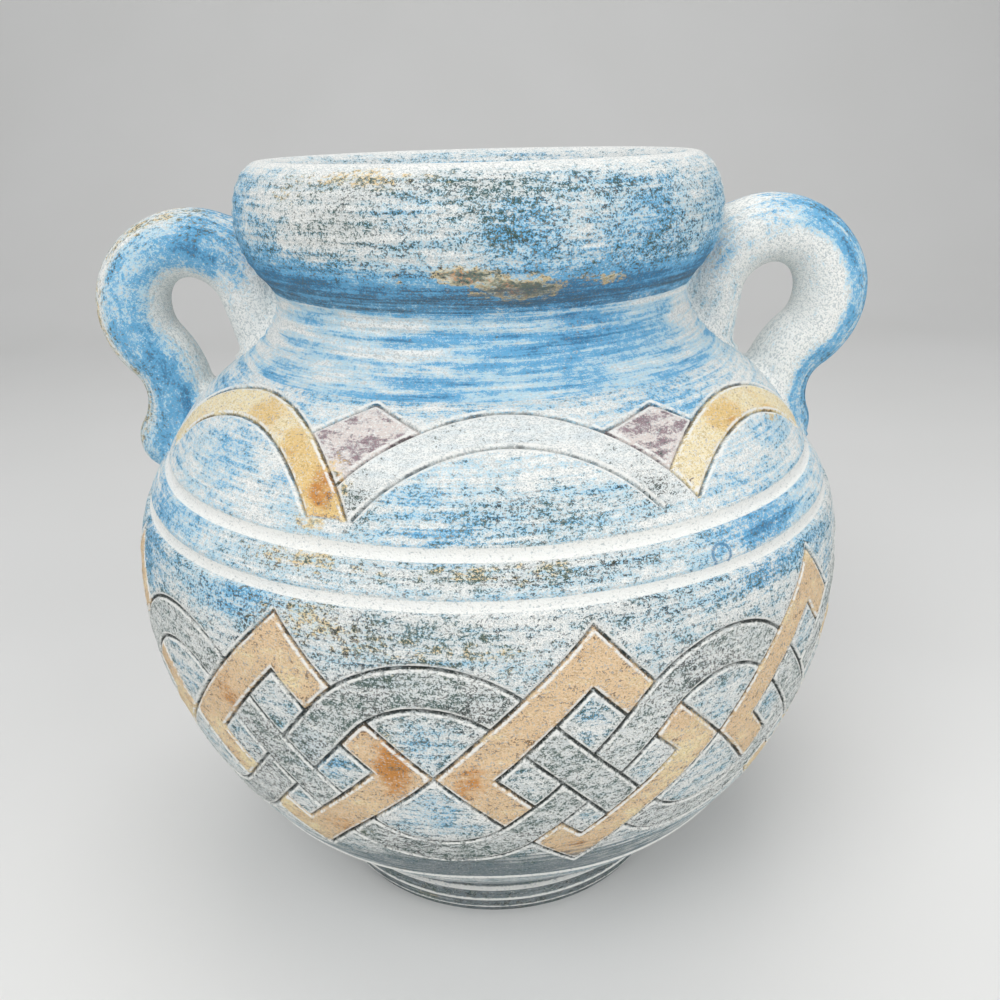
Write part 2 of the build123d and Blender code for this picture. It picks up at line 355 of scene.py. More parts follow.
def sown_plan(low, high, distance, rows):
    """Flat points for a carved wall between two lengths, with rows of points at the grooves. A
    point next to a cut slides onto it: down the slope of the distance, by the distance."""
    half = math.pi * FLAT
    across = np.linspace(-half, half, COLUMNS + 1)
    rows = np.array([low, *rows, high])
    rings = np.stack(np.broadcast_arrays(across, rows[:, None]), -1).reshape(-1, 2)
    up = np.linspace(low, high, int((high - low) / SIDE_STEP))[1:-1]
    sides = np.concatenate([np.stack([np.full_like(up, x), up], -1) for x in (-half, half)])
    plain = staggered(low, high, PLAIN_STEP)
    cuts = staggered(low, high, CUT_STEP)
    plain = plain[distance(*plain.T) > CUT_REACH]
    near = distance(*cuts.T)
    cuts, near = cuts[near < CUT_REACH], near[near < CUT_REACH]
    slope = np.stack([distance(cuts[:, 0] + NUDGE, cuts[:, 1]) - near,
                      distance(cuts[:, 0], cuts[:, 1] + NUDGE) - near], -1) / NUDGE
    snapped = cuts - np.where(near < SNAP, near, 0)[:, None] * np.clip(slope, -1, 1)
    free = np.concatenate([plain, snapped])
    clear = np.abs(free[:, 1, None] - rows).min(1) > ROW_CLEAR
    clear &= np.abs(free[:, 0]) < half - END_CLEAR
    return np.concatenate([rings, sides, free[clear]])


def joined_plan(plan):
    """Triangles over the flat points, counted so that both ends of the plan are one column."""
    flat, _, triangles = delaunay_2d_cdt(plan.tolist(), [], [], 0, SAME_PLACE)[:3]
    flat, triangles = np.array(flat), np.array(triangles)
    a, b, c = flat[triangles.T]
    area = (b - a)[:, 0] * (c - a)[:, 1] - (b - a)[:, 1] * (c - a)[:, 0]
    triangles = np.where((area < 0)[:, None], triangles[:, ::-1], triangles)
    triangles = triangles[np.abs(area) > TINY_AREA]
    half = math.pi * FLAT
    start = np.flatnonzero(flat[:, 0] < -half + ON_END)
    end = np.flatnonzero(flat[:, 0] > half - ON_END)
    same = np.arange(len(flat))
    same[end[np.argsort(flat[end, 1])]] = start[np.argsort(flat[start, 1])]
    kept, place = np.unique(same, return_inverse=True)
    return flat[kept], place[triangles]


def ring_at(flat, s):
    """Points of the flat plan on one ring, in order round the jar."""
    on = np.flatnonzero(np.abs(flat[:, 1] - s) < ON_ROW)
    return on[np.argsort(flat[on, 0])]


# %% [markdown]
# ## Cut, groove and hand
# A V cut is deepest on its line and throws up a small burr beside it. A belt groove is a
# round channel from a loop tool. Hand throwing leaves the wall a few tenths uneven. A sculpt
# brush could do this, but a sum of lifts is exact and can be changed by one number.

# %% The lift of the carved wall
CUT_DEPTH, CUT_HALF, CUT_WANDER = 0.8, 0.7, 0.22
BURR_TALL, BURR_AWAY, BURR_HALF = 0.26, 1.1, 0.4
BELT_DEPTH, BELT_HALF = 1.5, 2.3
# A thin turned ridge low on the belly: its length up the wall, half width and height.
LOW_LINE, LOW_HALF, LOW_TALL = 44.8, 0.9, 0.5
FADE_RUN = 3
print("cuts", CUT_DEPTH, "mm deep, belt grooves", BELT_DEPTH, "mm")


def bell(away, half):
    """Bell curve: e to the minus square of the distance over its half width."""
    return np.exp(-((away / half) ** 2))


def belt(s, middle):
    """Depth of a round channel: one minus the square of the distance over its half width."""
    return BELT_DEPTH * np.clip(1 - ((s - middle) / BELT_HALF) ** 2, 0, 1)


def hand(turn, s):
    """Slow unevenness of a thrown wall, as a few long waves round and up the jar."""
    return (0.30 * np.sin(2 * turn + s / 31) + 0.22 * np.sin(5 * turn - s / 17 + 1.3)
            + 0.16 * np.sin(9 * turn + s / 11 + 0.5))


def cut_lift(distance, turn, s):
    """Depth of the V cut, whose half width wanders a little, and the burr beside it."""
    half = CUT_HALF * (1 + CUT_WANDER * np.sin(23 * turn + s / 3.1) * np.sin(17 * turn - s / 4.3))
    burr = BURR_TALL * bell(distance - BURR_AWAY, BURR_HALF)
    return burr - CUT_DEPTH * np.clip(1 - distance / half, 0, 1)


def fade(s, low, high):
    """One between the two lengths and zero at them, so that neighbours meet exactly."""
    return np.clip((s - low) / FADE_RUN, 0, 1) * np.clip((high - s) / FADE_RUN, 0, 1)


# %% The inside of the wall
INNER_ROWS, NECK_INNER_ROWS = 24, 14


def inner_wall(low, high, rows):
    """Rings inside the wall: the outer line moved in by the wall's thickness, with its two ends
    level with the outer ones and no ring of the upper half narrower than the mouth."""
    s = np.linspace(low, high, rows)
    radius, height = on_line(s, -WALL)
    height[0], height[-1] = on_line(np.array([low, high]))[1]
    radius = np.where(s > LOWER_GROOVE, np.maximum(radius, MOUTH_RADIUS), radius)
    radius[0] = FLOOR_RADIUS if low == CREASE else radius[0]
    return np.stack([radius, height], 1)


# %% A carved section
INSIDE_BLUE, INSIDE_GRIME = 0.2, 0.2


def plain_fields(turn, blue, grime, rust, wash):
    """The fields of a surface without carving: far from any cut, with only the paints given."""
    none = np.zeros(len(turn))
    return {"cut": none + FAR, "ochre": none, "cord": none, "mauve": none, "belt": none,
            "blue": none + blue, "grime": none + grime, "rust": none + rust, "wash": none + wash}


def carved_piece(name, node, low, high, pattern, rows, lift, fields_of):
    """A hollow turned section: carved skin outside, plain wall inside, flat rings at both ends."""
    flat, triangles = joined_plan(sown_plan(low, high, lambda x, s: pattern(x / FLAT, s)[0], rows))
    turn, s = flat[:, 0] / FLAT, flat[:, 1]
    skin = rolled(turn, s, lift(turn, s))
    bottom, top = ring_at(flat, low), ring_at(flat, high)
    turns = flat[bottom, 0] / FLAT
    inner = inner_wall(low, high, INNER_ROWS)
    start = len(skin)
    grid = ring_faces(len(inner), COLUMNS, start)[:, ::-1]
    inside_low = start + np.arange(COLUMNS)
    inside_high = start + (len(inner) - 1) * COLUMNS + np.arange(COLUMNS)
    foot = np.stack([np.roll(bottom, -1), bottom, inside_low, np.roll(inside_low, -1)], 1)
    head = np.stack([top, np.roll(top, -1), np.roll(inside_high, -1), inside_high], 1)
    points = np.concatenate([skin, spun(inner, turns).reshape(-1, 3)])
    faces = triangles.tolist() + np.concatenate([grid, foot, head]).tolist()
    inside = plain_fields(np.zeros(len(inner) * COLUMNS), INSIDE_BLUE, INSIDE_GRIME, 0, 0)
    fields = {key: np.r_[values, inside[key]] for key, values in fields_of(turn, s).items()}
    plan = np.concatenate([np.column_stack([skin[:, :2], s]), points[start:]])
    return make_piece(name, points, faces, [node], fields, plan)


# %% [markdown]
# ## Where each paint lies
# The painter's sponge leaves soft patches; the wash patches low on the belly and under the rim are
# partly painted shade. Each is a spot on the plan: its turn in degrees, its length up the wall,
# its half width and half height in millimetres and its strength. The spots are summed for every
# point and the finish breaks them up with noise.

# %% Soft spots
def spots(turn, s, places):
    """Sum of soft round patches, each falling off as a bell curve across the wall."""
    total = np.zeros(np.shape(turn))
    for degrees, middle, wide, tall, strength in places:
        away = (np.degrees(turn) - degrees + 180) % 360 - 180
        across = np.radians(away) * BAND_RADIUS / wide
        total += strength * np.exp(-(across**2) - ((s - middle) / tall) ** 2)
    return total


def both_sides(turn, s, places):
    """The same patches on the front and, half a turn on, on the back."""
    return spots(turn, s, places) + spots(turn + math.pi, s, places)


def groove_paint(s, middle, bare):
    """White paint in a groove: the share of its depth, less the part of it that stays bare."""
    return belt(s, middle) / BELT_DEPTH - bare


# %% Patches on the lower belly
BELLY_BLUE = [
    (-36, 148, 24, 6, 0.30), (-64, 145, 22, 12, 0.24), (52, 149, 20, 6, 0.22), (-9, 115, 9, 9, 0.14),
    (-9, 90, 12, 9, 0.16), (-24, 108, 8, 9, 0.24), (30, 112, 9, 9, 0.04), (-40, 104, 12, 16, 0.06),
    (58, 128, 12, 14, 0.14), (14, 137, 40, 10, 0.04), (-12, 138, 26, 9, 0.12), (30, 149, 30, 4, 0.16),
]
BELLY_GRIME = [
    (-10, 146, 30, 7, 0.12), (22, 150, 20, 4, 0.10), (-8, 68, 46, 10, 0.10), (-14, 126, 18, 12, 0.09),
    (-3, 124, 6, 6, 0.10), (8, 100, 12, 14, 0.08), (-33, 105, 12, 18, 0.08), (28, 126, 14, 10, 0.04),
]
# Slate wash: the wide bands low on the belly are partly painted shade, darker towards the foot.
BELLY_WASH_AND_SHADE = [
    (0, 58, 70, 11, 0.76), (0, 48, 200, 7, 0.36), (-9, 86, 15, 9, 0.26), (0, 28, 200, 12, 0.50),
    (-9, 112, 8, 8, 0.18), (0, 6, 300, 14, 0.5),
]
BELLY_RUST = [
    (-13, 106, 6, 15, 0.62), (-38, 116, 7, 10, 0.46), (-3, 103, 7, 8, 0.45), (12, 67, 10, 7, 0.22),
    (6, 122, 10, 8, 0.16), (-26, 148, 26, 8, 0.34), (50, 122, 10, 18, 0.18), (-4, 141, 44, 9, 0.34),
    (-22, 76, 10, 6, 0.34), (-18, 47, 8, 2, 0.5), (24, 118, 6, 5, 0.34),
]
print(len(BELLY_BLUE + BELLY_GRIME + BELLY_WASH_AND_SHADE + BELLY_RUST), "patches on the lower belly")


# %% Lower belly
def belly_fields(turn, s):
    """Each paint's base level and its spots; the grime also gathers along the cuts, and the wash low on
    the belly is partly painted shade.
    """
    distance, ochre, cord = lower_band(turn, s)
    grime = 0.33 + 0.06 * cord - 0.08 * ochre + both_sides(turn, s, BELLY_GRIME)
    return {
        "cut": distance, "ochre": ochre, "cord": cord, "mauve": 0 * s,
        "belt": np.maximum(groove_paint(s, LOWER_GROOVE, 0.35), bell(s - LOW_LINE, LOW_HALF)),
        "blue": 0.36 + both_sides(turn, s, BELLY_BLUE),
        "grime": grime + 0.10 * bell(distance, 2.6),
        "rust": both_sides(turn, s, BELLY_RUST), "wash": both_sides(turn, s, BELLY_WASH_AND_SHADE),
    }


def belly_lift(turn, s):
    """Cuts and hand, which fade out at both seams, less the groove, plus the thin ridge."""
    distance = lower_band(turn, s)[0]
    carving = (cut_lift(distance, turn, s) + hand(turn, s)) * fade(s, CREASE, LOWER_GROOVE)
    return carving - belt(s, LOWER_GROOVE) + LOW_TALL * bell(s - LOW_LINE, LOW_HALF)


belt_rows = np.arange(0.5, 3.2, 0.45)
low_rows = LOW_LINE + np.arange(-2, 2.1, 0.5)
lower_belly = carved_piece("lower_belly", "lower_bowl", CREASE, LOWER_GROOVE,
                           lower_band, [*low_rows, *(LOWER_GROOVE - belt_rows)],
                           belly_lift, belly_fields)

# %% Patches on the upper belly and shoulder
SHOULDER_BLUE = [
    (-58, 162, 24, 5, 0.24), (45, 161, 24, 5, 0.30), (-5, 161, 40, 6, -0.06), (-50, 184, 14, 9, 0.13),
    (58, 180, 20, 8, 0.12), (40, 204, 22, 8, 0.18), (-70, 202, 20, 8, 0.06), (-34, 207, 22, 4, 0.06),
    (2, 184, 26, 9, -0.06), (8, 206, 22, 6, 0.08), (-38, 176, 8, 12, -0.10), (4, 178, 34, 8, 0.17),
    (0, 161, 60, 6, 0.10),
]
SHOULDER_GRIME = [
    (4, 161, 56, 6, 0.28), (6, 177, 38, 9, 0.25), (-20, 179, 9, 7, 0.26), (26, 180, 9, 8, 0.18),
    (55, 178, 16, 6, 0.08), (-30, 161, 22, 5, 0.12),
]
SHOULDER_RUST = [
    (-25, 181, 9, 10, 0.85), (-34, 192, 7, 7, 0.42), (-28, 162, 24, 6, 0.36), (48, 192, 10, 6, 0.60),
    (0, 162, 30, 4, 0.28), (62, 186, 8, 8, 0.45), (-46, 200, 9, 4, 0.34), (8, 162, 60, 6, 0.16),
]
print(len(SHOULDER_BLUE + SHOULDER_GRIME + SHOULDER_RUST), "patches on the shoulder")


# %% Upper belly and shoulder
def shoulder_fields(turn, s):
    """Each paint's base level and its spots; the ochre arches are less rusty than the ground."""
    distance, ochre, white, mauve = upper_band(turn, s)
    return {
        "cut": distance, "ochre": ochre, "cord": white, "mauve": mauve,
        "belt": np.maximum(groove_paint(s, LOWER_GROOVE, 0.35), groove_paint(s, UPPER_GROOVE, 0.15)),
        "blue": 0.37 + both_sides(turn, s, SHOULDER_BLUE),
        "grime": 0.17 + both_sides(turn, s, SHOULDER_GRIME),
        "rust": both_sides(turn, s, SHOULDER_RUST) - 0.27 * ochre, "wash": 0 * s,
    }


def shoulder_lift(turn, s):
    """Cuts and hand, which fade out at both seams, less the two grooves."""
    distance = upper_band(turn, s)[0]
    carving = (cut_lift(distance, turn, s) + hand(turn, s)) * fade(s, LOWER_GROOVE, FLARE)
    return carving - belt(s, LOWER_GROOVE) - belt(s, UPPER_GROOVE)


groove_rows = UPPER_GROOVE + np.arange(-2.7, 2.8, 0.45)
shoulder = carved_piece("shoulder", "shoulder_dome", LOWER_GROOVE, FLARE,
                        upper_band, [*(LOWER_GROOVE + belt_rows), *groove_rows],
                        shoulder_lift, shoulder_fields)

# %% [markdown]
# ## Neck, rim and foot
# These are plain turned rings. Each is a closed profile carried round the axis, with a
# little of the hand in it. A Screw modifier would do, but the grid also carries the paint.

# %% Turned rings
TURNS = np.linspace(-math.pi, math.pi, COLUMNS, endpoint=False)


def turned_ring(name, node, profile, start, sway, fields_of):
    """A ring whose closed profile runs up outside and down inside, swayed by a small lift.
    Its paint is given by the turn and by the length along the profile from a starting length."""
    rings = spun(profile, TURNS)
    outward = np.stack([np.sin(TURNS), -np.cos(TURNS), 0 * TURNS], -1)
    rings = rings + sway(TURNS, profile[:, 1, None])[..., None] * outward
    points = rings.reshape(-1, 3)
    run = start + np.r_[0, np.cumsum(np.hypot(*np.diff(profile, axis=0).T))]
    turn, s = (side.ravel() for side in np.broadcast_arrays(TURNS, run[:, None]))
    faces = ring_faces(len(profile), COLUMNS, closed=True).tolist()
    plan = np.column_stack([points[:, :2], s])
    return make_piece(name, points, faces, [node], fields_of(turn, s), plan)


# %% Neck
NECK_ROWS = 60
neck_out = np.stack(on_line(np.linspace(FLARE, SEAT, NECK_ROWS)), 1)
neck_in = inner_wall(FLARE, SEAT, NECK_INNER_ROWS)[::-1]
NECK_BLUE = [
    (-20, 232, 42, 2.0, -0.34), (-28, 224, 34, 2.4, -0.26), (28, 226, 44, 6, 0.14),
    (-66, 224, 24, 16, -0.34), (66, 228, 24, 12, -0.30), (-34, 217, 30, 2.6, -0.22),
    (6, 221, 50, 2.5, 0.10), (24, 233, 34, 1.6, 0.10), (-12, 228, 30, 1.8, 0.12),
    (34, 219, 24, 3, -0.12),
]


def neck_sway(turn, z):
    """Throwing lines: a wave up the neck that shifts round it and fades out at both seams."""
    return 0.25 * np.sin(z * 1.9 + 2 * np.sin(turn)) * fade(z, flare_height, seat_height)


def neck_fields(turn, s):
    """Mostly blue, with brushed white streaks where spots take blue away."""
    return plain_fields(turn, 0.51 + both_sides(turn, s, NECK_BLUE), 0.02, 0, 0)


neck = turned_ring("neck", "neck_collar", np.concatenate([neck_out, neck_in]),
                   FLARE, neck_sway, neck_fields)

# %% The rim's profile
CROWN_HALF = (RIM_RADIUS - MOUTH_RADIUS) / 2
CROWN_RISE = top_height - RIM_MIDDLE
touch = math.asin((RIM_MIDDLE - fillet_height) / (bulge_arc + NECK_FILLET))
HOLLOW_ROWS, SWELL_ROWS, CROWN_ROWS, INSIDE_ROWS = 3, 34, 69, 8
swell_foot = RIM_MIDDLE - bulge_arc * math.sin(touch)
hollow_heights = np.linspace(seat_height, swell_foot, HOLLOW_ROWS + 1)[:-1]
rim_hollow = np.stack([DOME_RADII[-1] + hollow(hollow_heights), hollow_heights], 1)
swell = np.linspace(-touch, 0, SWELL_ROWS)
rim_swell = np.stack([RIM_RADIUS - bulge_arc + bulge_arc * np.cos(swell),
                      RIM_MIDDLE + bulge_arc * np.sin(swell)], 1)
crown = np.linspace(0, math.pi, CROWN_ROWS + 1)[1:]
rim_crown = np.stack([MOUTH_RADIUS + CROWN_HALF * (1 + np.cos(crown)),
                      RIM_MIDDLE + CROWN_RISE * np.sin(crown)], 1)
inside_heights = np.linspace(RIM_MIDDLE, seat_height, INSIDE_ROWS + 1)[1:]
rim_inside = np.stack([np.full(INSIDE_ROWS, MOUTH_RADIUS), inside_heights], 1)
rim_profile = np.concatenate([rim_hollow, rim_swell, rim_crown, rim_inside])
print("rim profile:", len(rim_profile), "points")

# %% Patches on the rim
RIM_BLUE = [
    (8, 262, 16, 9, 0.26), (36, 262, 26, 12, 0.26), (-68, 260, 20, 18, 0.24), (66, 260, 20, 16, 0.20),
    (-32, 262, 28, 9, -0.08), (0, 243, 500, 8, 0.34), (20, 272, 26, 4, 0.12), (-50, 250, 26, 5, 0.14),
    (-14, 268, 14, 5, 0.12), (0, 281, 500, 4, -0.16),
]
RIM_GRIME = [
    (-28, 263, 34, 9, 0.12), (6, 264, 18, 10, 0.14), (40, 254, 20, 7, 0.12), (0, 273, 60, 4, 0.16),
    (30, 268, 30, 6, 0.08), (0, 281, 500, 4, -0.14),
]
RIM_RUST = [
    (-4, 250, 13, 3.0, 0.60), (8, 245, 26, 6, 0.62), (28, 247, 12, 3, 0.40), (-18, 248, 6, 2, 0.42),
    (-24, 275, 48, 5, 0.40), (-44, 269, 16, 6, 0.30), (-16, 262, 30, 10, 0.14),
]
# Slate wash round the under side of the roll: partly painted shade under the rim.
RIM_WASH_AND_SHADE = [(0, 240, 500, 7, 0.28), (6, 245, 24, 5, 0.16)]
# Past this length the profile has turned over the crown into the mouth.
MOUTH_SIDE = SEAT + 54.0
# Below this length the under side of the roll has less grime.
CLEAN_BELOW, CLEAN_RUN = 250, 8
print(len(RIM_BLUE + RIM_GRIME + RIM_RUST + RIM_WASH_AND_SHADE), "patches on the rim")


# %% Rim
def rim_sway(turn, z):
    """Two slow waves round the roll and a fine one up it, all fading out at the seam."""
    part = np.clip((z - seat_height) / 6, 0, 1)
    round_about = 0.4 * np.sin(3 * turn + 0.7) + 0.3 * np.sin(5 * turn + z / 9)
    return part * (round_about + 0.15 * np.sin(z * 1.7))


def rim_fields(turn, s):
    """Base levels and spots outside, one even level of blue and grime in the mouth; the mouth's blue,
    deeper than outside, is partly painted shade.
    """
    inside = s > MOUTH_SIDE
    clean = np.clip((CLEAN_BELOW - s) / CLEAN_RUN, 0, 1)
    # Deeper blue in the mouth: blue paint, and partly painted shade inside the mouth.
    blue = np.where(inside, 0.56, 0.38 + both_sides(turn, s, RIM_BLUE))
    grime = np.where(inside, 0.20, 0.30 + both_sides(turn, s, RIM_GRIME) - 0.25 * clean)
    rust, wash = both_sides(turn, s, RIM_RUST), both_sides(turn, s, RIM_WASH_AND_SHADE)
    return plain_fields(turn, blue, grime, rust, wash)


rim = turned_ring("rim", "rim_roll", rim_profile, SEAT, rim_sway, rim_fields)

# %% The foot's profile
# Turned ridges: height above the table, half width and how far each stands out.
FOOT_RIDGES = [(13.7, 0.8, 1.1), (8.1, 0.7, 0.6), (3.4, 0.6, 0.4)]
FOOT_ROWS, FOOT_CAP = 70, 40.0
s_foot = np.linspace(length[0], CREASE, FOOT_ROWS)
foot_radii, foot_heights = on_line(s_foot)
foot_ridges = sum(tall * bell(foot_heights - z, half) for z, half, tall in FOOT_RIDGES)
foot_side = np.stack([foot_radii + foot_ridges, foot_heights], 1)
foot_profile = np.concatenate([[[FOOT_CAP, 0.0]], foot_side, [[FOOT_CAP, crease_height]]])
print("foot profile:", len(foot_profile), "points")

# %% Foot
FOOT_RUST = [(-22, -9, 12, 6, 0.34), (8, -12, 20, 5, 0.26), (28, -6, 10, 5, 0.2)]


def capped(rows, columns):
    """Faces of a tube whose two ends are fans to one middle point each, which come last."""
    count, j = rows * columns, np.arange(columns)
    last = count - columns
    first_fan = np.stack([np.roll(j, -1), j, np.full(columns, count)], 1)
    last_fan = np.stack([last + j, last + np.roll(j, -1), np.full(columns, count + 1)], 1)
    return [ring_faces(rows, columns), first_fan, last_fan]


def foot_disc():
    """The profile carried round, closed by a fan below and above; its ridges are rubbed white, and its
    heavy wash and grime are grey wash and painted shade.
    """
    ends = [[0, 0, 0], [0, 0, crease_height]]
    points = np.concatenate([spun(foot_profile, TURNS).reshape(-1, 3), ends])
    faces = [face for part in capped(len(foot_profile), COLUMNS) for face in part.tolist()]
    run = np.r_[s_foot[0], s_foot, CREASE]
    plan = np.vstack([np.column_stack([points[:-2, :2], np.repeat(run, COLUMNS)]), ends])
    turn = np.r_[np.tile(TURNS, len(run)), 0, 0]
    # Heavy wash and grime: grey wash on the foot, and painted shade that darkens it.
    fields = plain_fields(turn, 0.2, 0.45, 0.14 + both_sides(turn, plan[:, 2], FOOT_RUST), 0.74)
    fields["belt"] = np.r_[np.repeat(np.r_[0, foot_ridges * 0.8, 0], COLUMNS), 0, 0]
    return make_piece("foot", points, faces, ["foot_disc"], fields, plan)


foot = foot_disc()

# %% [markdown]
# ## The handles
# A rolled coil is pressed up the neck, looped over and laid down on the shoulder, and the
# joint is smeared with a thumb. The coil is a round section carried along its centre line.
# Near the wall the section flares out like a fillet, which makes the thumbed joint. A curve
# with a bevel could make the coil, but it can't flare at the joint or carry the paint.

# %% The coil's centre line
COIL_RADIUS = 11.5
LEG_REACH, LEG_FOOT = 76.2, 180.2
LOOP_TURN, LOOP_HEIGHT = 20.75, 206.2
ROOT_HEIGHT = 160.7
LEG_STEPS, LOOP_STEPS, TAIL_STEPS, COIL_STEPS = 30, 80, 60, 170
# Above one, the rings of points crowd together towards the rounded tail.
TAIL_CROWD = 1.25


def arc_to(begin, heading, end, steps):
    """Points after the first on the arc that leaves one point along a heading and meets another:
    its radius is the chord squared over twice the chord's part square to the heading."""
    side = np.array([-heading[1], heading[0]])
    chord = end - begin
    bend = (chord @ chord) / (2 * (chord @ side))
    pivot = begin + bend * side
    first = math.atan2(*(begin - pivot)[::-1])
    sweep = math.atan2(*(end - pivot)[::-1]) - first
    sweep = (sweep + math.pi) % (2 * math.pi) - math.pi
    angle = first + sweep * np.linspace(0, 1, steps)[1:]
    return pivot + abs(bend) * np.stack([np.cos(angle), np.sin(angle)], 1)


def centre_line(leg_lean, lean, root_reach):
    """Up the neck on a lean, over in a loop, then one arc, tangent to the loop, to the root and
    on by one radius for the rounded tail. Gives the reach and height, and the length so far."""
    centre = np.array([LEG_REACH + LOOP_TURN, LOOP_HEIGHT])
    angle = np.linspace(math.pi - leg_lean, -lean, LOOP_STEPS)
    loop = centre + LOOP_TURN * np.stack([np.cos(angle), np.sin(angle)], 1)
    rise = np.linspace(LEG_FOOT - loop[0, 1], 0, LEG_STEPS)[:-1]
    leg = loop[0] + np.stack([rise * math.tan(leg_lean), rise], 1)
    heading = np.array([-math.sin(lean), -math.cos(lean)])
    tail = arc_to(loop[-1], heading, np.array([root_reach, ROOT_HEIGHT]), TAIL_STEPS)
    path = np.concatenate([leg, loop, tail])
    tip = path[-1] + (path[-1] - path[-2]) / np.linalg.norm(path[-1] - path[-2]) * COIL_RADIUS
    path = np.vstack([path, tip])
    run = np.r_[0, np.cumsum(np.hypot(*np.diff(path, axis=0).T))]
    even = run[-1] * (1 - (1 - np.linspace(0, 1, COIL_STEPS)) ** TAIL_CROWD)
    return np.stack([np.interp(even, run, path[:, k]) for k in (0, 1)], 1), even


# %% Where a coil meets the wall
PRESS_DEPTH = 4.0
LINE_STRIDE = 12


def wall_distance(points):
    """Distance of points from the wall's outer line, negative inside the clay, and its normal:
    the way from the nearest point of the line, measured along the normal there."""
    radius, height = np.hypot(points[..., 0], points[..., 1]), points[..., 2]
    coarse = slice(None, None, LINE_STRIDE)
    gap = np.stack([radius, height], -1)[..., None, :] - line[coarse]
    nearest = np.argmin((gap**2).sum(-1), -1)
    picked = np.take_along_axis(gap, nearest[..., None, None], -2)[..., 0, :]
    normal = line_normal[coarse][nearest]
    return (picked * normal).sum(-1), normal


def pressed_home(points):
    """Points deeper in the clay than a coil is pressed, moved back out along the normal."""
    distance, normal = wall_distance(points)
    push = np.maximum(-PRESS_DEPTH - distance, 0)[:, None]
    round_about = points[:, :2] / np.hypot(points[:, 0], points[:, 1])[:, None]
    return points + push * np.column_stack([normal[:, :1] * round_about, normal[:, 1]])


# %% Paint on the handles
def ramp(value, low, high):
    """Zero below low, one above high and a straight rise between."""
    return np.clip((value - low) / (high - low), 0, 1)


def left_paint(along, outer):
    """Blue, grime and rust by the share of the run and by how far a point faces out of the loop."""
    past_leg = ramp(along, 0.18, 0.36)
    edge = ramp(outer, 0.38, 0.75) * ramp(along, 0.28, 0.40)
    blue = 0.16 + past_leg * (0.50 * ramp(outer, -0.85, -0.35) - 0.26 * edge)
    blue += 0.14 * np.exp(-(((along - 0.34) / 0.08) ** 2) - ((outer + 0.35) / 0.3) ** 2)
    grime = 0.02 + past_leg * (0.20 * ramp(outer, -0.4, 0.4) + 0.10 * edge)
    return blue, grime, 0.25 * edge + 0.10 * past_leg * ramp(outer, 0.0, 0.4)


def right_paint(along, outer):
    """The right handle is whiter: its blue keeps to the outer edge past the top of the loop, and grime
    is raised as painted shade on the loop's inner side below its top.
    """
    past_leg = ramp(along, 0.16, 0.30)
    near_rim = bell(along - 0.25, 0.04)
    edge = ramp(outer, -0.05, 0.35) * ramp(along, 0.34, 0.44)
    blue = 0.30 - 0.10 * past_leg - 0.14 * ramp(along, 0.55, 0.66) + 0.54 * edge
    blue += 0.20 * near_rim * ramp(outer, -0.1, 0.3)
    # Painted shade: extra grime on the inner side of the loop, below its top.
    shade = ramp(-outer, 0.3, 0.8) * past_leg * ramp(0.5 - along, 0, 0.1)
    grime = 0.20 - 0.24 * past_leg + 0.26 * shade + 0.30 * ramp(outer, 0.35, 0.7) * edge
    return blue, grime, 0.34 * near_rim * ramp(outer, -0.2, 0.3)


# %% Coils
AROUND = 72
# The thumbed fillet's radius, and the share of it that the thumb leaves.
FILLET, FILLET_SHARE = 3.0, 0.8
# The tail stops this share of a radius before its very tip, so that its last ring has a width.
BLUNT_TIP = 0.005


def coil_skin(path, run, turn):
    """Rings about the centre line: a round section a little uneven along the run, rounded off like
    a ball at the tail, and widened near the wall by what a fillet's quarter circle adds."""
    ahead = np.gradient(path, run, axis=0)
    ahead /= np.linalg.norm(ahead, axis=1, keepdims=True)
    outward = np.stack([ahead[:, 1], -ahead[:, 0]], 1)
    left_over = np.clip((run[-1] - run) / COIL_RADIUS, BLUNT_TIP, 1)
    thick = COIL_RADIUS * np.sqrt(1 - (1 - left_over) ** 2)
    thick *= 1 + 0.03 * np.sin(run / 13) + 0.03 * np.sin(run / 7 + 1)
    across = np.cos(turn)[:, None] * outward[:, None, :]
    direction = np.stack([across[..., 0], np.sin(turn) + 0 * across[..., 0], across[..., 1]], -1)
    middle = np.stack([path[:, 0], 0 * run, path[:, 1]], -1)
    coil = middle[:, None, :] + thick[:, None, None] * direction
    depth = np.clip(wall_distance(coil)[0], 0, FILLET)
    flare = FILLET - np.sqrt(FILLET**2 - (FILLET - depth) ** 2)
    coil = coil + (flare * (thick / COIL_RADIUS)[:, None])[..., None] * direction * FILLET_SHARE
    return np.concatenate([coil.reshape(-1, 3), middle[[0, -1]]])


def coil_piece(name, side, leg_lean, lean, root_reach, nodes, paint_of):
    """One handle on the side of +X or -X. Its plan is the unrolled coil: the length along it and
    the place on the round section."""
    path, run = centre_line(math.radians(leg_lean), math.radians(lean), root_reach)
    turn = np.linspace(0, 2 * math.pi, AROUND, endpoint=False)
    points = pressed_home(coil_skin(path, run, turn))
    points[:, 0] *= side
    faces = [face for part in capped(len(run), AROUND) for face in part[:, ::side].tolist()]
    outer = np.r_[np.tile(-np.cos(turn), len(run)), 0, 0]
    along = np.r_[np.repeat(run / run[-1], AROUND), 0, 1]
    fields = plain_fields(points[:, 0], *paint_of(along, outer), 0)
    section = np.stack([np.cos(turn), np.sin(turn)], 1) * COIL_RADIUS
    plan = np.column_stack([np.repeat(run, AROUND), np.tile(section, (len(run), 1))])
    plan = np.vstack([plan, (0, 0, 0), (run[-1], 0, 0)])
    return make_piece(name, points, faces, nodes, fields, plan)


